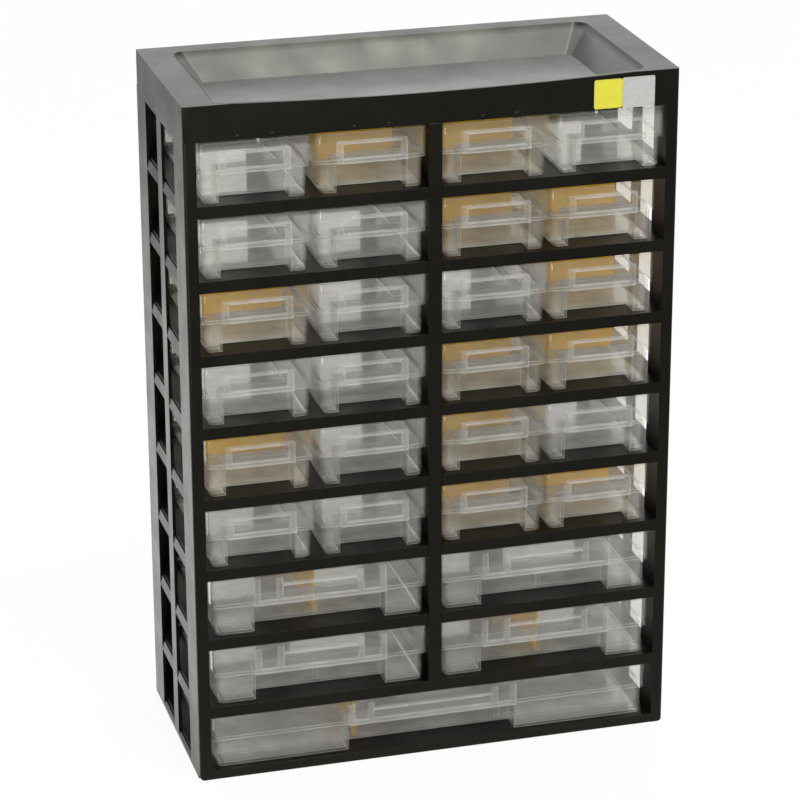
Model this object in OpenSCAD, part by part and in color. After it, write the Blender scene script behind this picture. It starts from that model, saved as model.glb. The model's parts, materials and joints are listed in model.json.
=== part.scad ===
// Parts bin cabinet: a moulded housing with a storage tray in its top, and
// translucent drawers in nine rows, some with amber divider plates.
// The front faces -Y, +Z is up, and the origin is under the middle of the base.

/* [Housing] */
// Width over the side panels
cab_w = 306; // [290:1:340]
// Depth, front face to rear face
cab_d = 135; // [132:1:170]
// Thickness of the side panels, shelves and back
wall = 2.0; // [1.6:0.1:2.6]
// Width of each corner post, seen from the front
post_w = 7.6; // [6:0.1:12]
// Depth of each front post, whose inner wall guides the drawers
post_d = 22; // [16:0.5:22]
// Thickness of the posts, lips and rails at the front
face_t = 2.4; // [2:0.1:3.2]
// Width of the centre divider, seen from the front
centre_w = 8.4; // [7:0.1:12]
// Radius on the vertical front corners
edge_r = 1.4; // [0.6:0.1:2]
// Radius on the lower corners of the front
foot_r = 3.0; // [1:0.1:5]
// Clearance between clipped housing pieces
clip_gap = 0.15; // [0.1:0.05:0.3]

/* [Rows] */
// Height of the rail over the first row, which is also the height of the tray
top_h = 22; // [21.5:0.5:30]
// Clear height of rows one to eight
open_h = 39.2; // [38.5:0.1:50]
// Height of each shelf lip
lip_h = 7.4; // [6.8:0.1:12]
// Clear height of the bottom row
low_open_h = 36.2; // [35.5:0.1:50]
// Height of the base rail
base_h = 6; // [5:0.1:12]

/* [Shelves] */
// Drop of the hold-down ribs below a shelf
rib_drop = 4.6; // [3:0.1:4.8]
// Thickness of the hold-down ribs
rib_t = 1.6; // [1.2:0.1:2.4]
// Height of the drawer stop along the back of a shelf
stop_h = 5; // [3:0.5:8]

/* [Side lattice] */
// Front edge of the front windows, from the front face
win_front = 27; // [22:0.5:30]
// Width of the front windows
win_a_w = 36.5; // [30:0.5:38]
// Width of the upright between the windows
win_mid_w = 13; // [8:0.5:16]
// Width of the rear windows
win_b_w = 33; // [26:0.5:36]
// Drop of a window's lower edge below the top of the shelf beside it
win_sink = 1.5; // [0.5:0.1:1.8]
// Height of the rim over the first windows
win_rim = 4.2; // [2:0.1:6]
// Height of the crossbars between the windows
bar_h = 6.6; // [5:0.1:9]
// Depth of the sloping face on each crossbar
bar_slope = 1.0; // [0.4:0.1:1.3]
// Width of the closed border at each side of the back lattice
back_side = 14.4; // [12:0.1:24]
// Width of the uprights between the windows of the back lattice
back_bar = 23; // [4:0.5:26]
// Height of the rim over and under the windows of the back lattice
back_rim = 1; // [0.5:0.1:3]
// Number of windows side by side in the back lattice
back_cols = 4; // [3:1:6]

/* [Top tray] */
// Depth of the tray
tray_depth = 17; // [12:0.5:17.5]
// Width of the border at each side
tray_side = 19.5; // [14:0.5:30]
// Width of the border at the back
tray_back = 13; // [9:0.5:20]
// Width of the lip along the front
tray_front = 3.4; // [3:0.1:6]
// Inward slope of the side and back walls over the tray's depth
tray_run = 13.5; // [6:0.5:18]
// Inward slope of the front wall
tray_front_run = 2; // [0:0.5:6]
// Corner radius of the tray's mouth
tray_r = 8; // [4:0.5:12]
// Dip in the middle of the front lip
lip_dip = 2.6; // [1:0.1:4]
// Length of the tongues that clip the side panels into the tray
tongue_l = 12; // [8:0.5:16]
// Reach of a tongue below and above the tray's lower edge
tongue_h = 7; // [4:0.5:8]
// Distance from the front and rear faces to the tongues
tongue_in = 8; // [6:0.5:10]
// Distance from the tray's lower edge to its dimples and keyholes
skirt_rim = 2.2; // [1.5:0.1:3]
// Length of the hold-down ribs over the first row
top_rib_l = 70; // [50:1:90]
// Radius of the tray's lower corners
tray_low_r = 4; // [2:0.5:6]
// Radius of the snap dimples on the front rail
snap_r = 1.5; // [1.0:0.1:2.4]
// Depth of the snap dimples
snap_t = 0.3; // [0.2:0.1:1]
// Distance from a small drawer's middle to each of its two dimples
snap_x = 10.5; // [8:0.5:14]

/* [Wall hanging] */
// Distance between the two keyholes
key_spacing = 250; // [200:5:256]
// Radius of the keyhole's mouth, which the screw's head passes
key_head_r = 4.5; // [4:0.1:5]
// Radius of the keyhole's neck, which takes the screw's shank
key_neck_r = 2.2; // [2:0.1:2.4]
// Rise from the mouth's centre to the neck's end
key_rise = 8; // [6.5:0.1:8.5]

/* [Drawers] */
// Length of a drawer
drawer_l = 110; // [90:1:113]
// Wall and floor of a drawer
skin = 1.3; // [1:0.1:1.6]
// Setback of the drawer fronts from the front of the housing
setback = 3; // [2.8:0.1:6]
// Free width that a pair of small drawers leaves in its bay
pair_play = 6.0; // [4.6:0.1:9]
// Free width that a half-width drawer leaves in its bay
half_play = 3.8; // [2.2:0.1:6]
// Free width that the full-width drawer leaves between the posts
full_play = 6.0; // [4.4:0.1:9]
// Clearance of a drawer to the right post or the centre divider beside it
side_gap = 0.5; // [0.3:0.1:1]
// Clearance of the first small drawer to the left post
left_gap = 1.7; // [0.5:0.1:2]
// Clearance between two small drawers
pair_gap = 0.6; // [0.3:0.1:1]
// Clearance of the full-width drawer to the left post
full_gap = 2.2; // [0.5:0.1:3]
// Clearance of a drawer's rear wall to its stop
stop_gap = 1.0; // [0.5:0.1:3]
// Clearance under a drawer
run_gap = 0.3; // [0.2:0.05:0.5]
// Clearance over a drawer
head_gap = 2.1; // [1.5:0.1:3]
// Height of the narrow lower half
step_z = 18.4; // [15:0.1:20]
// Width of the step at each side, at mid-height
step_x = 1.8; // [1.2:0.1:2.4]
// Step of the lower front behind the upper front
step_y = 1.6; // [1:0.1:2.4]
// Radius along the lower edges of a drawer
heel_r = 3.2; // [2:0.1:4]
// Corner radius of the upper half, seen from above
upper_r = 2.5; // [2:0.1:4]
// Corner radius of the lower half, seen from above
lower_r = 4.5; // [3:0.1:6]
// Depth of the finger pocket under the handle
pocket_y = 15; // [12:0.5:20]
// Half width of the finger pocket in a small drawer
pocket_small = 21.5; // [18:0.5:24]
// Half width of the finger pocket in a half-width drawer
pocket_half = 42; // [30:0.5:48]
// Half width of the finger pocket in the full-width drawer
pocket_full = 55; // [40:0.5:80]

/* [Label holders] */
// How far a label holder stands out from the drawer's front
holder_t = 2.4; // [1.6:0.1:2.7]
// Distance from the drawer's rim down to the label window's upper edge
holder_top = 5.2; // [4:0.1:7]
// Distance from a wide drawer's rim down to the ends of its holder's ribs
rib_top = 0.8; // [0.4:0.1:3]
// Width of the upright ribs of a label holder
holder_rib = 3.6; // [2.4:0.1:5]
// Height of the holder's lower ledge
holder_ledge = 2.6; // [2:0.1:4]
// Height of the holder's upper edge
holder_edge = 1.3; // [1:0.1:2]
// Half width of the label window in a half-width drawer
label_half = 24; // [18:0.5:28]
// Half width of the label window in the full-width drawer
label_full = 39; // [30:0.5:48]

/* [Dividers] */
// Thickness of a divider plate
plate_t = 1.4; // [1:0.1:1.8]
// Clearance of a plate in its slot, at each face
slot_gap = 0.2; // [0.15:0.05:0.4]
// Clearance of a plate to the walls beside it
plate_gap = 0.3; // [0.2:0.05:0.5]
// Height and thickness of the ribs that make a slot
slot_rib = 1.0; // [0.8:0.1:1.2]
// Drop of a plate's top edge below the rim
plate_drop = 1.6; // [1:0.1:4]
// Distance from a drawer's front to its first cross slot
slot_first = 31; // [26:0.5:36]
// Distance between the two cross slots
slot_pitch = 34; // [28:0.5:40]

/* [Hidden] */
$fn = 48;
EPS = 0.01;

ROWS = 9;
SMALL_ROWS = 6;
HALF_ROWS = [7, 8];

// Rows and columns whose small drawers hold a cross plate
CROSS = [[1, 2], [1, 3], [2, 3], [2, 4], [3, 1], [3, 4],
         [4, 3], [4, 4], [5, 1], [5, 3], [6, 3], [6, 4]];

pitch = open_h + lip_h;
cab_h = base_h + low_open_h + 8 * pitch + top_h;
body_h = cab_h - top_h;
front = -cab_d / 2;
rear = cab_d / 2;
bay_w = (cab_w - 2 * post_w - centre_w) / 2;
bay_x = (centre_w + bay_w) / 2;
inner_w = cab_w - 2 * wall;

// Front edge and width of the two windows in each row
WINDOWS = [[win_front, win_a_w], [win_front + win_a_w + win_mid_w, win_b_w]];

back_y1 = rear - wall - clip_gap;
back_y0 = back_y1 - wall;
stop_y = front + setback + drawer_l + stop_gap;

// Inner edges of the bay on each side
bay_out = cab_w / 2 - post_w;
bay_in = centre_w / 2;
small_w = (bay_w - pair_play) / 2;
half_w = bay_w - half_play;
full_w = 2 * bay_out - full_play;
drawer_h = open_h - run_gap - head_gap;
low_drawer_h = low_open_h - run_gap - head_gap;
drawer_y = front + setback;

PLASTIC = [0.13, 0.13, 0.125];
CLEAR = [0.80, 0.82, 0.80, 0.75];
AMBER = [0.93, 0.62, 0.15];

// Top of the floor that row r stands on, counted from the top down
function floor_z(r) = r == ROWS ? base_h : body_h - r * pitch + lip_h;
// Clear height of row r
function row_h(r) = r == ROWS ? low_open_h : open_h;
// Middle of the small drawer in row r and column c. The bays leave the drawers
// some play: the left pair stands apart, and the right pair stands together.
function small_x(r, c) =
    c == 1 ? small_w / 2 + left_gap - bay_out :
    c == 2 ? -bay_in - side_gap - small_w / 2 :
    c == 3 ? bay_in + side_gap + small_w / 2 :
    r == 1 ? bay_out - side_gap - small_w / 2 : small_x(r, 3) + small_w + pair_gap;
// Middle of the half-width drawer on each side, against the centre divider
function half_x(side) = side * (bay_in + side_gap + half_w / 2);
// Middle of the full-width drawer
full_x = full_w / 2 + full_gap - bay_out;
// Middles of the half bays, where the hold-down ribs run
function rib_xs() = [for (s = [-1, 1], q = [-1, 1]) s * bay_x + q * bay_w / 4];

// ---- Shared shapes ----

// Rectangle with round corners, centred on x and starting at y = 0
module plan(w, l, r) {
    translate([-w / 2 + r, 0]) square([w - 2 * r, l]);
    translate([-w / 2, r]) square([w, l - 2 * r]);
    for (x = [-w / 2 + r, w / 2 - r], y = [r, l - r])
        translate([x, y]) circle(r);
}

// A profile drawn in x and z, run back along y
module run_back(l) {
    translate([0, l, 0]) rotate([90, 0, 0]) linear_extrude(l) children();
}

// ---- Side panels ----

// Lower and upper edges of the windows beside row r
function win_z0(r) = floor_z(r) - win_sink;
function win_z1(r) = r == 1 ? body_h - win_rim : win_z0(r - 1) - bar_h;

module window_row(r) {
    for (w = WINDOWS)
        translate([-cab_w / 2 - 1, front + w[0], win_z0(r)])
            cube([wall + 2, w[1], win_z1(r) - win_z0(r)]);
}

// Crossbar under row r, with its outer face leaning back towards the top
module bar_lean(r) {
    top = win_z0(r);
    low = r == ROWS ? top / 2 : win_z1(r + 1);
    for (w = WINDOWS)
        translate([-cab_w / 2, front + w[0], 0]) run_back(w[1])
            polygon([[-1, low], [0, low], [bar_slope, top + EPS], [-1, top + EPS]]);
}

module panel_plan() {
    x0 = -cab_w / 2;
    translate([x0, front + edge_r]) square([wall, cab_d - edge_r]);
    translate([x0 + edge_r, front]) square([post_w - edge_r, face_t]);
    translate([x0 + edge_r, front + edge_r]) circle(edge_r);
    translate([x0 + post_w - wall, front]) square([wall, post_d]);
    translate([x0, rear - wall]) square([post_w, wall]);
}

module side_panel() {
    difference() {
        union() {
            linear_extrude(body_h) panel_plan();
            // Tongues that clip inside the tray's skirt
            for (y = [front + tongue_in, rear - tongue_in - tongue_l]) {
                translate([-cab_w / 2 + wall + clip_gap, y, body_h - tongue_h])
                    cube([wall, tongue_l, 2 * tongue_h]);
                translate([-cab_w / 2 + wall / 2, y, body_h - tongue_h])
                    cube([wall, tongue_l, tongue_h - clip_gap]);
            }
        }
        for (r = [1:ROWS]) window_row(r);
        for (r = [1:ROWS]) bar_lean(r);
        // Round lower corner, seen from the front
        translate([-cab_w / 2 - 1, front - 1, -1]) run_back(face_t + 3)
            difference() {
                square([foot_r + 1, foot_r + 1]);
                translate([foot_r + 1, foot_r + 1]) circle(foot_r);
            }
    }
}

module left_side_panel() {
    color(PLASTIC) side_panel();
}

module right_side_panel() {
    color(PLASTIC) mirror([1, 0, 0]) side_panel();
}

// ---- Shelves, divider, base and back ----

// Plate between the side panels, notched round their posts, with its top at z
module deck(z) {
    between = 2 * (bay_out - clip_gap);
    y1 = front + post_d + clip_gap;
    translate([-between / 2, front + face_t, z - wall])
        cube([between, y1 - front - face_t + EPS, wall]);
    translate([-inner_w / 2, y1, z - wall]) cube([inner_w, back_y0 - y1, wall]);
}

module rib_row(z1, l) {
    for (x = rib_xs())
        translate([x - rib_t / 2, front + face_t, z1 - rib_drop]) cube([rib_t, l, rib_drop + EPS]);
}

module shelf(r) {
    z = floor_z(r);
    split = r < 8;
    mid = (front + stop_y) / 2;
    color(PLASTIC) difference() {
        union() {
            deck(z);
            // Lip between the corner posts
            translate([-cab_w / 2 + post_w, front, z - lip_h])
                cube([cab_w - 2 * post_w, face_t, lip_h]);
            // Stop behind the drawers
            translate([-inner_w / 2 + post_w, stop_y, z - EPS])
                cube([inner_w - 2 * post_w, wall, stop_h]);
            rib_row(z - wall, stop_y - front - face_t);
        }
        // Half-lap slot for the centre divider
        if (split) {
            translate([-centre_w / 2 - clip_gap, front - 1, z - lip_h - 1])
                cube([centre_w + 2 * clip_gap, face_t + 1 + clip_gap, lip_h + 2]);
            translate([-wall / 2 - clip_gap, front, z - wall - 1])
                cube([wall + 2 * clip_gap, mid - front, wall + 2]);
        }
    }
}

module centre_divider() {
    z0 = floor_z(8);
    h = body_h - z0;
    mid = (front + stop_y) / 2;
    color(PLASTIC) difference() {
        union() {
            translate([-centre_w / 2, front, z0]) cube([centre_w, face_t, h]);
            translate([-wall / 2, front + face_t - EPS, z0])
                cube([wall, stop_y - front - face_t - clip_gap, h]);
        }
        for (r = [1:7])
            translate([-wall, mid - clip_gap, floor_z(r) - wall - clip_gap])
                cube([2 * wall, stop_y - mid + 1, wall + 2 * clip_gap]);
    }
}

module base() {
    foot_y = front + post_d + clip_gap;
    color(PLASTIC) {
        deck(base_h);
        translate([-cab_w / 2 + post_w, front, 0]) cube([cab_w - 2 * post_w, face_t, base_h]);
        translate([-inner_w / 2 + post_w, stop_y, base_h - EPS])
            cube([inner_w - 2 * post_w, wall, stop_h]);
        // Feet under the plate: a skirt at the back and ribs between
        translate([-inner_w / 2, back_y0 - wall, 0]) cube([inner_w, wall, base_h - EPS]);
        for (x = rib_xs())
            translate([x - rib_t / 2, front + face_t - EPS, 0])
                cube([rib_t, back_y0 - front - face_t, base_h - EPS]);
        for (s = [-1, 1])
            translate([s * (inner_w / 2 - wall / 2) - wall / 2, foot_y, 0])
                cube([wall, back_y0 - foot_y, base_h - EPS]);
    }
}

module back_lattice() {
    w = inner_w - 2 * clip_gap;
    cell = (w - 2 * back_side + back_bar) / back_cols;
    color(PLASTIC) difference() {
        translate([-w / 2, back_y0, 0]) cube([w, wall, body_h]);
        for (r = [1:ROWS], i = [0:back_cols - 1])
            translate([-w / 2 + back_side + i * cell, back_y0 - 1, floor_z(r) + back_rim])
                cube([cell - back_bar, wall + 2, row_h(r) - 2 * back_rim]);
    }
}

// ---- Top tray ----

// Sloping bowl of the tray, grown outwards by t
module bowl(t) {
    x = cab_w / 2 - tray_side;
    y0 = front + tray_front;
    y1 = rear - tray_back;
    hull() {
        for (sx = [-1, 1], y = [y0 + tray_r - t, y1 - tray_r + t])
            translate([sx * (x - tray_r + t), y, cab_h]) cylinder(h = 1, r = tray_r, $fn = 32);
        for (sx = [-1, 1], y = [y0 + tray_front_run + tray_low_r - t, y1 - tray_run - tray_low_r + t])
            translate([sx * (x - tray_run - tray_low_r + t), y, cab_h - tray_depth - t])
                cylinder(h = 1, r = tray_low_r, $fn = 32);
    }
}

module keyhole() {
    z = body_h + key_head_r + skirt_rim;
    for (s = [-1, 1]) translate([s * key_spacing / 2, rear + 1, z]) rotate([90, 0, 0]) {
        cylinder(h = face_t + 2, r = key_head_r);
        translate([-key_neck_r, 0, 0]) cube([2 * key_neck_r, key_rise, face_t + 2]);
        translate([0, key_rise, 0]) cylinder(h = face_t + 2, r = key_neck_r);
    }
}

module top_tray() {
    dip_x = cab_w / 2 - tray_side - tray_r;
    dip_r = (pow(dip_x, 2) + pow(lip_dip, 2)) / (2 * lip_dip);
    color(PLASTIC) difference() {
        union() {
            // Skirt and border
            difference() {
                translate([0, front, body_h]) linear_extrude(top_h) plan(cab_w, cab_d, edge_r);
                translate([-cab_w / 2 + wall, front + face_t, body_h - 1])
                    cube([cab_w - 2 * wall, cab_d - 2 * face_t, top_h - wall + 1]);
            }
            intersection() {
                bowl(wall);
                translate([-cab_w / 2, front, body_h]) cube([cab_w, cab_d, top_h]);
            }
            // Hold-down ribs over the first row
            for (x = rib_xs())
                translate([x - rib_t / 2, front + face_t - EPS, body_h])
                    cube([rib_t, top_rib_l, top_h - tray_depth - wall + EPS]);
        }
        bowl(0);
        keyhole();
        // Snap dimples over the small drawers
        for (x = rib_xs(), s = [-1, 1])
            translate([x + s * snap_x, front - EPS, body_h + snap_r + skirt_rim])
                rotate([-90, 0, 0]) cylinder(h = snap_t, r1 = snap_r, r2 = snap_r / 2, $fn = 24);
        // Long shallow dip along the front lip
        translate([0, front - 1, cab_h - lip_dip + dip_r]) rotate([-90, 0, 0])
            cylinder(h = tray_front + 1.5, r = dip_r, $fn = 360);
    }
}

// ---- Drawers ----

// Section of a drawer, inset by i and up to height z: wide above the step, with
// round lower edges
module section(w, i, z) {
    a = w / 2 - i;
    b = a - step_x;
    s = step_z + i;
    r = heel_r - i;
    translate([-a, s]) square([2 * a, z - s]);
    translate([-b, heel_r]) square([2 * b, s - heel_r + EPS]);
    translate([-b + r, i]) square([2 * (b - r), r + EPS]);
    for (x = [-b + r, b - r]) translate([x, heel_r]) circle(r);
}

// Solid of a drawer's outer form, or of its cavity when i is the skin
module drawer_form(w, h, i) {
    s = step_z + i;
    intersection() {
        translate([0, i, 0]) run_back(drawer_l - 2 * i) section(w, i, h + (i > 0 ? 1 : 0));
        union() {
            translate([0, i, s]) linear_extrude(h + 2)
                plan(w - 2 * i, drawer_l - 2 * i, upper_r - min(i, upper_r - 0.8));
            translate([0, step_y + i, -1]) linear_extrude(s + 1 + EPS)
                plan(w - 2 * step_x - 2 * i, drawer_l - step_y - 2 * i, lower_r - i);
        }
    }
}

// Finger pocket, grown by t all round
module pocket(half, t) {
    translate([-half - t, -1, -1]) cube([2 * (half + t), pocket_y + 1 + t, step_z + 1 + t]);
}

module cavity(w, h, half) {
    difference() {
        drawer_form(w, h, skin);
        pocket(half, skin);
    }
}

// Two ribs across the cavity, with a slot between them for a plate
module cross_slot(w, h, half, y) {
    for (s = [-1, 1])
        translate([0, y + s * (plate_t / 2 + slot_gap + slot_rib / 2), 0])
            intersection() {
                cavity(w, h, half);
                translate([0, -slot_rib / 2, 0]) run_back(slot_rib) difference() {
                    section(w, skin, h - plate_drop);
                    section(w, skin + slot_rib, h);
                }
            }
}

// Upright ribs on the pocket's wall and the rear wall for a lengthwise plate
module long_slot(x, h) {
    y0 = pocket_y + skin;
    y1 = drawer_l - skin;
    for (s = [-1, 1]) translate([x + s * (plate_t / 2 + slot_gap + slot_rib / 2), 0, 0]) {
        translate([-slot_rib / 2, y0 - EPS, skin - EPS]) cube([slot_rib, slot_rib, step_z - skin]);
        translate([-slot_rib / 2, y1 - slot_rib, skin - EPS])
            cube([slot_rib, slot_rib + EPS, h - skin - plate_drop]);
    }
}

// Raised frame on the front. A small drawer's window fills its frame. A wide
// drawer's frame has a panel at each side of the window, and ribs up to the rim.
module label_holder(half, window, h) {
    wide = half - window > 2 * holder_rib;
    z0 = step_z + holder_ledge;
    z1 = h - holder_top - holder_edge;
    top = wide ? h - rib_top : h - holder_top;
    panel = half - window - 2 * holder_rib;
    difference() {
        translate([-half, -holder_t, step_z]) cube([2 * half, holder_t + EPS, top - step_z]);
        translate([-window, -holder_t - 1, z0]) cube([2 * window, holder_t + 1, z1 - z0]);
        if (wide) {
            translate([-window, -holder_t - 1, h - holder_top])
                cube([2 * window, holder_t + 1, holder_top]);
            for (s = [-1, 1])
                translate([s * (half + window) / 2 - panel / 2, -holder_t - 1, z0])
                    cube([panel, holder_t + 1, top - z0 + 1]);
        }
    }
}

module drawer_shell(w, h, half, window) {
    difference() {
        drawer_form(w, h, 0);
        cavity(w, h, half);
        pocket(half, 0);
    }
    label_holder(half, window, h);
}

module small_drawer(r, c) {
    color(CLEAR) translate([small_x(r, c), drawer_y, floor_z(r) + run_gap]) {
        drawer_shell(small_w, drawer_h, pocket_small, pocket_small - holder_rib);
        for (i = [0, 1])
            cross_slot(small_w, drawer_h, pocket_small, slot_first + i * slot_pitch);
    }
}

module half_drawer(r, side) {
    color(CLEAR) translate([half_x(side), drawer_y, floor_z(r) + run_gap]) {
        drawer_shell(half_w, drawer_h, pocket_half, label_half);
        long_slot(0, drawer_h);
    }
}

module full_drawer() {
    color(CLEAR) translate([full_x, drawer_y, floor_z(ROWS) + run_gap]) {
        drawer_shell(full_w, low_drawer_h, pocket_full, label_full);
        for (x = [-full_w / 6, full_w / 6]) long_slot(x, low_drawer_h);
    }
}

// ---- Divider plates ----

// Plate in the second cross slot
module cross_plate(r, c) {
    y = drawer_y + slot_first + slot_pitch - plate_t / 2;
    w = small_w - 2 * plate_gap;
    color(AMBER) translate([small_x(r, c), y, floor_z(r) + run_gap])
        run_back(plate_t) section(w, skin, drawer_h - plate_drop);
}

module long_plate(x, z, h) {
    y0 = pocket_y + skin + plate_gap;
    y1 = drawer_l - skin - plate_gap;
    color(AMBER) translate([x - plate_t / 2, drawer_y, z + run_gap])
        translate([0, y0, skin]) cube([plate_t, y1 - y0, h - skin - plate_drop]);
}

module half_plate(r, side) {
    long_plate(half_x(side), floor_z(r), drawer_h);
}

module full_plate() {
    long_plate(full_x - full_w / 6, floor_z(ROWS), low_drawer_h);
}

// ---- Nodes ----

function small_name(r, c) = str("drawer_r", r, "_c", c);
function plate_name(r, c) = str("divider_r", r, "_c", c);
function half_name(r, side) = str("wide_drawer_r", r, side < 0 ? "_left" : "_right");

left_side_panel();
right_side_panel();
top_tray();
base();
back_lattice();
centre_divider();
for (r = [1:8])
    shelf(r);
for (r = [1:SMALL_ROWS], c = [1:4])
    small_drawer(r, c);
for (r = HALF_ROWS, side = [-1, 1])
    half_drawer(r, side);
full_drawer();
for (p = CROSS)
    cross_plate(p[0], p[1]);
half_plate(7, -1);  // divider_r7_left
half_plate(8, 1);  // divider_r8_right
full_plate();  // divider_r9
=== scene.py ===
"""The looks of a parts bin cabinet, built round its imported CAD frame."""

import json
import math

import bmesh
import bpy
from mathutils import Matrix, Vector


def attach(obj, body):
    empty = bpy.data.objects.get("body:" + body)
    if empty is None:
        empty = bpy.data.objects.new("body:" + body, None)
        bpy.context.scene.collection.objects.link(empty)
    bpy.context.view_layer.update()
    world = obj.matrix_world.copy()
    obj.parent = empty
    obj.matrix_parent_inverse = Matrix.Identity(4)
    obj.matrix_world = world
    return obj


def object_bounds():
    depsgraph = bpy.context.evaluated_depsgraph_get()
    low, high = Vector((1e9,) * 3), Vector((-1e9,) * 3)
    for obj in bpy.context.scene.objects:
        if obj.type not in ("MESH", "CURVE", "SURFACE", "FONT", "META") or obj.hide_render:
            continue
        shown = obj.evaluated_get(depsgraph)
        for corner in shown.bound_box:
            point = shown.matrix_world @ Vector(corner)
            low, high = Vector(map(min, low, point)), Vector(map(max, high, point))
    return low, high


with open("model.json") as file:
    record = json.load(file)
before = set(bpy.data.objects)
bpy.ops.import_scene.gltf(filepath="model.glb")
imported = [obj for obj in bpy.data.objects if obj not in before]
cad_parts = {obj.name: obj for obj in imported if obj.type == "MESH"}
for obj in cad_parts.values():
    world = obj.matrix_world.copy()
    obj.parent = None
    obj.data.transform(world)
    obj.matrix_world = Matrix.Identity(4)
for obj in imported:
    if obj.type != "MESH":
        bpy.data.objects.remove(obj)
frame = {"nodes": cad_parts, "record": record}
cad_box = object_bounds()
scene = bpy.context.scene
scene.view_settings.view_transform = "Standard"
nodes_of = frame["nodes"]
bodies_of = frame["record"]["behaviour"]["bodies"]

MM = 0.001

# Places on the cabinet: its front, its top, the tray's lower edge and the drawers' fronts
FRONT = cad_box[0][1]
CAB_H = cad_box[1][2]
TRAY_H = 22 * MM
SETBACK = 3 * MM
BODY_H = CAB_H - TRAY_H
DRAWER_Y = FRONT + SETBACK


# ---- Camera ----

SENSOR_MM = 36
LENS_MM = 147.94
CAMERA_AT = (-0.52515, -1.86707, 0.96447)
CAMERA_TURN = (0.817012, 0.560267, -0.075846, -0.113314)

camera_data = bpy.data.cameras.new("camera")
camera_data.sensor_width = SENSOR_MM
camera_data.lens = LENS_MM
camera = bpy.data.objects.new("camera", camera_data)
camera.location = CAMERA_AT
camera.rotation_mode = "QUATERNION"
camera.rotation_quaternion = CAMERA_TURN
scene.collection.objects.link(camera)
scene.camera = camera


# ---- Node helpers ----


class Graph:
    """The node tree of a material or world, with short calls for the nodes used here."""

    def __init__(self, owner):
        self.owner = owner
        self.owner.use_nodes = True
        self.tree = owner.node_tree
        self.tree.nodes.clear()

    def add(self, kind, **settings):
        node = self.tree.nodes.new(kind)
        for key, value in settings.items():
            setattr(node, key, value)
        return node

    def put(self, value, socket):
        """Sets a socket to a number or a colour, or links an output to it."""
        if isinstance(value, tuple):
            socket.default_value = (*value, 1.0)
        elif isinstance(value, (int, float)):
            socket.default_value = value
        else:
            self.tree.links.new(value, socket)

    def coords(self, scale=(1, 1, 1)):
        """Object coordinates, so that the finish stays with its body."""
        place = self.add("ShaderNodeMapping")
        place.inputs["Scale"].default_value = scale
        self.put(self.add("ShaderNodeTexCoord").outputs["Object"], place.inputs["Vector"])
        return place.outputs["Vector"]

    def axis(self, vector, letter):
        """One coordinate of a vector."""
        split = self.add("ShaderNodeSeparateXYZ")
        self.put(vector, split.inputs["Vector"])
        return split.outputs[letter]

    def noise(self, scale, detail=2.0, rough=0.5, stretch=(1, 1, 1)):
        tex = self.add("ShaderNodeTexNoise")
        tex.inputs["Scale"].default_value = scale
        tex.inputs["Detail"].default_value = detail
        tex.inputs["Roughness"].default_value = rough
        self.put(self.coords(stretch), tex.inputs["Vector"])
        return tex.outputs["Fac"]

    def span(self, value, low, high, start=0.3, end=0.7):
        """value from start to end becomes low to high."""
        node = self.add("ShaderNodeMapRange")
        node.inputs["From Min"].default_value = start
        node.inputs["From Max"].default_value = end
        node.inputs["To Min"].default_value = low
        node.inputs["To Max"].default_value = high
        self.put(value, node.inputs["Value"])
        return node.outputs["Result"]

    def math(self, kind, *values):
        node = self.add("ShaderNodeMath", operation=kind)
        for socket, value in zip(node.inputs, values):
            self.put(value, socket)
        return node.outputs["Value"]

    def product(self, first, *others):
        for other in others:
            first = self.math("MULTIPLY", first, other)
        return first

    def mix(self, fac, a, b):
        """The colour a, or b where fac is 1."""
        node = self.add("ShaderNodeMix", data_type="RGBA")
        for key, value in (("Factor", fac), ("A", a), ("B", b)):
            self.put(value, next(s for s in node.inputs if s.name == key and s.enabled))
        return next(s for s in node.outputs if s.enabled)

    def choose(self, fac, a, b):
        """The number a, or b where fac is 1."""
        node = self.add("ShaderNodeMix")
        for k, value in ((0, fac), (2, a), (3, b)):
            self.put(value, node.inputs[k])
        return node.outputs[0]

    def seen(self, camera_value, mirror_value, other_value):
        """A value for the camera and clear surfaces, one for mirrors, and one for the rest."""
        path = self.add("ShaderNodeLightPath").outputs
        value = self.choose(path["Is Glossy Ray"], other_value, mirror_value)
        value = self.choose(path["Is Transmission Ray"], value, camera_value)
        return self.choose(path["Is Camera Ray"], value, camera_value)

    def bump(self, height, strength, distance, under=None):
        node = self.add("ShaderNodeBump")
        node.inputs["Strength"].default_value = strength
        node.inputs["Distance"].default_value = distance
        self.put(height, node.inputs["Height"])
        if under is not None:
            self.put(under, node.inputs["Normal"])
        return node.outputs["Normal"]

    def shader(self, kind, **sockets):
        """A shader with its sockets set or linked."""
        node = self.add(kind)
        for key, value in sockets.items():
            self.put(value, node.inputs[key.replace("_", " ")])
        return node.outputs[0]

    def cover(self, fac, under, over):
        """The shader over, laid on the shader under by the share fac."""
        node = self.add("ShaderNodeMixShader")
        for socket, value in zip(node.inputs, (fac, under, over)):
            self.put(value, socket)
        return node.outputs["Shader"]

    def surface(self, shader, kind="ShaderNodeOutputMaterial"):
        self.put(shader, self.add(kind).inputs["Surface"])
        return self.owner


# ---- Materials ----

CLEAR_IOR = 1.49
PAPER_IOR = 1.5
# The housing's grain scatters its gloss, which a low index stands for.
HOUSING_IOR = 1.31

BLACK_TONES = (0.0020, 0.0020, 0.0012), (0.0045, 0.0045, 0.0032)
BLACK_GLOSS = (1.0, 0.97, 0.84)
# Grey laid on the tray's up-facing faces, and its share on the rim: partly dust, partly painted
# sheen from the light above
DUST_AND_TOP_SHEEN = (0.185, 0.187, 0.18)
RIM_DUST_AND_SHEEN = 0.12

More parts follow.
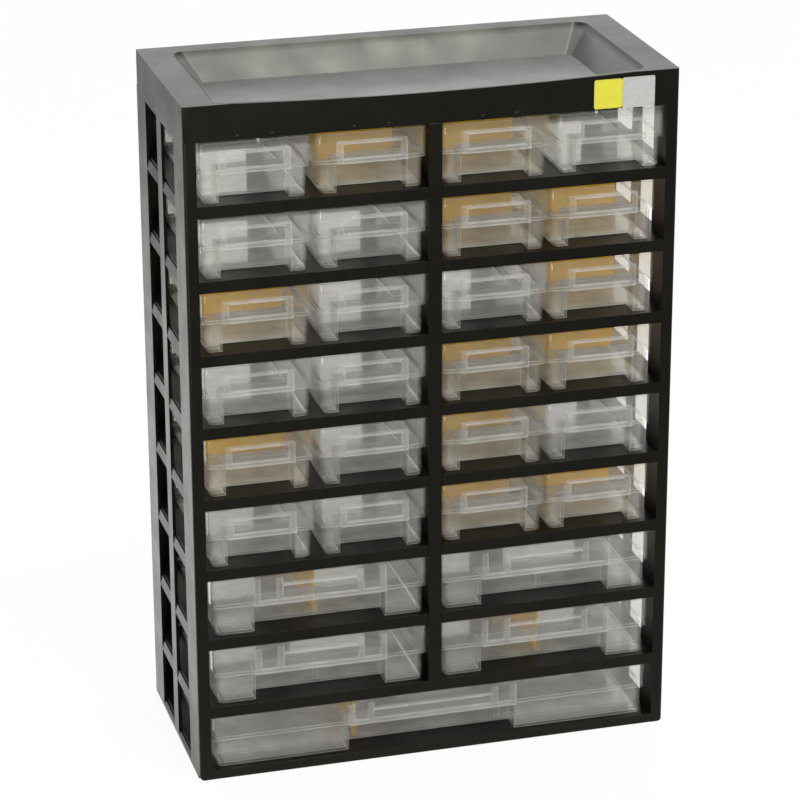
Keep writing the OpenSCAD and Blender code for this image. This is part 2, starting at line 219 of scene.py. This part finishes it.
CLEAR_TONES = (0.84, 0.83, 0.79), (0.92, 0.91, 0.87)
CREAM_TONES = (0.87, 0.84, 0.76), (0.94, 0.91, 0.83)
THICK_TONES = (0.84, 0.835, 0.80), (0.92, 0.915, 0.88)
CLEAR_FILTER = (0.99, 0.988, 0.972)
SHADOW_FILTER = (0.975, 0.975, 0.97)
# Share of light mirrored head on, and what grazing light adds to it
MIRRORED = 0.04
GRAZING = 0.96
EDGE_RADIUS = 0.8 * MM

AMBER_TONES = (0.95, 0.66, 0.010), (0.98, 0.74, 0.030)
AMBER_FILTER = (0.98, 0.76, 0.08)
AMBER_GLOW = 0.6

YELLOW_TONES = (0.66, 0.62, 0.035), (0.72, 0.67, 0.05)
WHITE_TONES = (0.44, 0.445, 0.43), (0.52, 0.52, 0.50)


def black_plastic():
    """Satin moulded plastic: fine spark grain, slow waviness, and a grey bloom on the open
    tray's up-facing faces, thinner on its rim: partly dust, partly painted sheen from the light
    above."""
    g = Graph(bpy.data.materials.new("black_plastic"))
    tone = g.mix(g.span(g.noise(14, 3), 0.0, 1.0), *BLACK_TONES)
    up = g.axis(g.add("ShaderNodeNewGeometry").outputs["Normal"], "Z")
    height = g.axis(g.coords(), "Z")
    # Dust and painted sheen: the tray's up-facing faces turn lighter grey as if lit from above,
    # more thinly on the rim
    dust_and_sheen = g.product(
        g.span(up, 0.0, 1.0, 0.3, 0.8),
        g.span(height, 0.0, 1.0, BODY_H - 4 * MM, BODY_H),
        g.span(height, 1.0, RIM_DUST_AND_SHEEN, CAB_H - 4 * MM, CAB_H - 1 * MM),
        g.span(g.noise(38, 5, 0.6), 0.7, 1.0),
    )
    grain = g.bump(g.noise(1500, 2), 0.10, 0.12 * MM)
    shader = g.shader(
        "ShaderNodeBsdfPrincipled",
        Base_Color=g.mix(dust_and_sheen, tone, DUST_AND_TOP_SHEEN),
        Roughness=g.span(g.noise(45, 4), 0.28, 0.37),
        Normal=g.bump(g.noise(22, 2), 0.12, 0.9 * MM, grain),
        IOR=HOUSING_IOR,
        Specular_Tint=BLACK_GLOSS,
    )
    return g.surface(shader)


def clear_plastic(name, tones, veil, edge_veil, flat_veil=5.5):
    """Clear moulded plastic: each face lets light through, mirrors more towards grazing, and
    has a milky veil. The veil is denser on the flat floors, by flat_veil behind the fronts,
    and along the edges, by edge_veil, where light runs a long way in the wall."""
    g = Graph(bpy.data.materials.new(name))
    wave = g.bump(g.noise(30, 2, 0.5, (1.0, 1.0, 0.6)), 0.10, 1.0 * MM)
    milky = g.shader(
        "ShaderNodeBsdfPrincipled",
        Base_Color=g.mix(g.span(g.noise(26, 3, 0.55, (1.0, 0.5, 1.6)), 0.0, 1.0), *tones),
        Roughness=g.span(g.noise(90, 3), 0.30, 0.45),
        Normal=wave,
        IOR=CLEAR_IOR,
    )
    through = g.shader("ShaderNodeBsdfTransparent", Color=CLEAR_FILTER)

    weight = g.add("ShaderNodeLayerWeight")
    g.put(wave, weight.inputs["Normal"])
    facing = weight.outputs["Facing"]
    normal = g.add("ShaderNodeNewGeometry").outputs["Normal"]
    flat = g.span(g.math("ABSOLUTE", g.axis(normal, "Z")), 0.0, 1.0, 0.5, 0.9)
    depth = g.axis(g.coords(), "Y")
    extra = g.span(depth, 0.6, flat_veil, FRONT + 12 * MM, FRONT + 20 * MM)
    haze = g.product(
        g.span(g.noise(60, 4), 0.75 * veil, 1.25 * veil),
        g.math("MULTIPLY_ADD", flat, extra, 1.0),
        g.math("MULTIPLY_ADD", g.math("POWER", facing, 3.0), 1.5, 1.0),
    )
    body = g.cover(haze, through, milky)

    roughness = g.span(g.noise(75, 3), 0.03, 0.07)
    gloss = g.shader(
        "ShaderNodeBsdfAnisotropic", Color=(1.0, 1.0, 1.0), Roughness=roughness, Normal=wave
    )
    mirror = g.math("MULTIPLY_ADD", g.math("POWER", facing, 5.0), GRAZING, MIRRORED)
    face = g.cover(mirror, body, gloss)

    rounded = g.add("ShaderNodeBevel", samples=4)
    rounded.inputs["Radius"].default_value = EDGE_RADIUS
    turn = g.add("ShaderNodeVectorMath", operation="DOT_PRODUCT")
    g.put(rounded.outputs["Normal"], turn.inputs[0])
    g.put(normal, turn.inputs[1])
    near_edge = g.span(turn.outputs["Value"], edge_veil, 0.0, 0.76, 0.97)
    edged = g.cover(near_edge, face, milky)

    lit = g.shader("ShaderNodeBsdfTransparent", Color=SHADOW_FILTER)
    shadow = g.add("ShaderNodeLightPath").outputs["Is Shadow Ray"]
    return g.surface(g.cover(shadow, edged, lit))


def amber_plastic():
    """Amber plastic of the divider plates: it filters what lies behind it and glows where
    light falls on it."""
    g = Graph(bpy.data.materials.new("amber_plastic"))
    tone = g.mix(g.span(g.noise(40, 3), 0.0, 1.0), *AMBER_TONES)
    matt = g.shader(
        "ShaderNodeBsdfPrincipled",
        Base_Color=tone,
        Roughness=g.span(g.noise(110, 3), 0.20, 0.32),
        Normal=g.bump(g.noise(36, 2), 0.15, 0.9 * MM),
        IOR=CLEAR_IOR,
    )
    glow = g.shader("ShaderNodeBsdfTranslucent", Color=tone)
    through = g.shader("ShaderNodeBsdfTransparent", Color=AMBER_FILTER)
    share = g.span(g.noise(60, 3), 0.58, 0.74)
    return g.surface(g.cover(share, through, g.cover(AMBER_GLOW, matt, glow)))


def paper(name, tones):
    """Coated sticker paper with faint fibre mottling."""
    g = Graph(bpy.data.materials.new(name))
    shader = g.shader(
        "ShaderNodeBsdfPrincipled",
        Base_Color=g.mix(g.span(g.noise(420, 4, 0.65), 0.0, 1.0), *tones),
        Roughness=g.span(g.noise(160, 3), 0.30, 0.44),
        Normal=g.bump(g.noise(900, 3), 0.08, 0.1 * MM),
        IOR=PAPER_IOR,
    )
    return g.surface(shader)


BLACK = black_plastic()
CLEAR = clear_plastic("clear_plastic", CLEAR_TONES, 0.052, 0.40)
MILKY = clear_plastic("clear_plastic_milky", CREAM_TONES, 0.052, 0.40, 9.0)
THICK = clear_plastic("clear_plastic_thick", THICK_TONES, 0.15, 0.32)
AMBER = amber_plastic()
YELLOW = paper("yellow_paper", YELLOW_TONES)
WHITE = paper("white_paper", WHITE_TONES)


# ---- CAD nodes ----

WELD = 0.01 * MM
SHARP = math.radians(50)
BLACK_EDGE = 0.35 * MM
CLEAR_EDGE = 0.30 * MM
AMBER_EDGE = 0.25 * MM


def dress(node, material, edge):
    """Gives a CAD node its finish and a small moulded radius on its edges. What stands out
    from a drawer's front, such as the label holder, gets the thicker plastic."""
    obj = nodes_of[node]
    obj.data.materials.clear()
    obj.data.materials.append(material)
    if material in (CLEAR, MILKY):
        obj.data.materials.append(THICK)
        for face in obj.data.polygons:
            face.material_index = int(face.center.y < DRAWER_Y - 0.05 * MM)
    weld = obj.modifiers.new("weld", "WELD")
    weld.merge_threshold = WELD
    bevel = obj.modifiers.new("edge", "BEVEL")
    bevel.width = edge
    bevel.segments = 2
    bevel.limit_method = "ANGLE"
    bevel.angle_limit = SHARP
    bevel.harden_normals = True


for members in bodies_of.values():
    for node in members:
        if node.startswith("divider"):
            dress(node, AMBER, AMBER_EDGE)
        elif "drawer" in node:
            # The small drawers with a plate have a creamier floor than the rest.
            creamy = node.startswith("drawer") and len(members) > 1
            dress(node, MILKY if creamy else CLEAR, CLEAR_EDGE)
        else:
            dress(node, BLACK, BLACK_EDGE)


# ---- Sticker on the front rail ----

SHEET_T = 0.14 * MM
SHEET_R = 1.2 * MM
ARC_STEPS = 6


def sheet(name, left, right, low, high, material):
    """A thin sheet with round corners on the housing's front, its sides given in mm."""
    x0, x1 = left * MM + SHEET_R, right * MM - SHEET_R
    z0, z1 = low * MM + SHEET_R, high * MM - SHEET_R
    rim = []
    for x, z, start in ((x1, z1, 0), (x0, z1, 90), (x0, z0, 180), (x1, z0, 270)):
        for k in range(ARC_STEPS + 1):
            a = math.radians(start + 90 * k / ARC_STEPS)
            rim.append((x + SHEET_R * math.cos(a), z + SHEET_R * math.sin(a)))
    mesh = bmesh.new()
    front = [mesh.verts.new((x, FRONT - SHEET_T, z)) for x, z in rim]
    back = [mesh.verts.new((x, FRONT, z)) for x, z in rim]
    mesh.faces.new(front)
    mesh.faces.new(list(reversed(back)))
    for k in range(len(rim)):
        n = (k + 1) % len(rim)
        mesh.faces.new((front[k], back[k], back[n], front[n]))
    bmesh.ops.recalc_face_normals(mesh, faces=mesh.faces)
    data = bpy.data.meshes.new(name)
    mesh.to_mesh(data)
    mesh.free()
    data.materials.append(material)
    obj = bpy.data.objects.new(name, data)
    scene.collection.objects.link(obj)
    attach(obj, "housing")


sheet("sticker_yellow", 98.8, 116.6, 415.6, 433.6, YELLOW)
sheet("sticker_white", 116.7, 137.3, 415.0, 434.0, WHITE)


# ---- Floor and light ----

FLOOR_HALF = 9.0
FLOOR_DROP = 0.3 * MM
# The floor's colour, and how much less of the light it throws back onto matt faces
FLOOR_TONE = 0.96
FLOOR_CUT = 0.42
# Share of plain white in the floor that the camera sees; the rest shows the shadow
FLOOR_WHITE = 0.91

# Strength of the room's light in front of the object and behind it
ROOM_LIGHT = 0.28, 2.6
ROOM_IN_MIRRORS = 1.0, 1.5


def floor_material():
    """Pale floor that the camera sees as white, apart from the object's soft shadow. In a
    mirror it fades to grey towards the front, and has a pool of light behind the object."""
    g = Graph(bpy.data.materials.new("pale_floor"))
    bounced = g.add("ShaderNodeLightPath").outputs["Is Diffuse Ray"]
    tone = g.math("MULTIPLY_ADD", bounced, -FLOOR_CUT, FLOOR_TONE)
    matt = g.shader("ShaderNodeBsdfDiffuse", Color=tone)
    y = g.axis(g.coords(), "Y")
    pool = g.product(g.span(y, 0.0, 0.95, -0.12, 0.12), g.span(y, 1.0, 0.0, 0.75, 1.45))
    mirrored = g.math("ADD", g.span(y, 0.22, 0.66, -0.75, -0.12), pool)
    strength = g.seen(1.0, mirrored, 1.0)
    glow = g.shader("ShaderNodeEmission", Color=(1.0, 1.0, 1.0), Strength=strength)
    share = g.seen(FLOOR_WHITE, FLOOR_WHITE, 0.0)
    return g.surface(g.cover(share, matt, glow))


def studio():
    """The room: white to the camera, and lit more behind the object than in front of it."""
    g = Graph(bpy.data.worlds.new("studio"))
    back = g.axis(g.add("ShaderNodeTexCoord").outputs["Generated"], "Y")
    light = g.span(back, *ROOM_LIGHT, 0.2, 0.6)
    mirrored = g.span(back, *ROOM_IN_MIRRORS, 0.2, 0.6)
    strength = g.seen(1.0, mirrored, light)
    room = g.shader("ShaderNodeBackground", Color=(1.0, 1.0, 1.0), Strength=strength)
    return g.surface(room, "ShaderNodeOutputWorld")


def softbox(name, at, target, size, watts):
    data = bpy.data.lights.new(name, "AREA")
    data.shape = "RECTANGLE"
    data.size, data.size_y = size
    data.energy = watts
    light = bpy.data.objects.new(name, data)
    light.location = at
    light.rotation_mode = "QUATERNION"
    light.rotation_quaternion = (Vector(target) - Vector(at)).to_track_quat("-Z", "Y")
    light.visible_camera = False
    scene.collection.objects.link(light)


floor_mesh = bpy.data.meshes.new("floor")
corners = [(x * FLOOR_HALF, y * FLOOR_HALF, 0) for x, y in ((-1, -1), (1, -1), (1, 1), (-1, 1))]
floor_mesh.from_pydata(corners, [], [(0, 1, 2, 3)])
floor_mesh.materials.append(floor_material())
floor = bpy.data.objects.new("floor", floor_mesh)
floor.location.z = -FLOOR_DROP
scene.collection.objects.link(floor)

scene.world = studio()
softbox("key", (0.30, -0.60, 1.60), (0, 0, 0.43), (0.46, 0.22), 10.5)
softbox("fill", (-0.15, -1.35, 1.42), (0, 0, 0.22), (0.90, 0.50), 8.5)
softbox("low_fill", (-0.20, -1.80, 0.50), (0, 0, 0.22), (0.80, 0.40), 6.0)
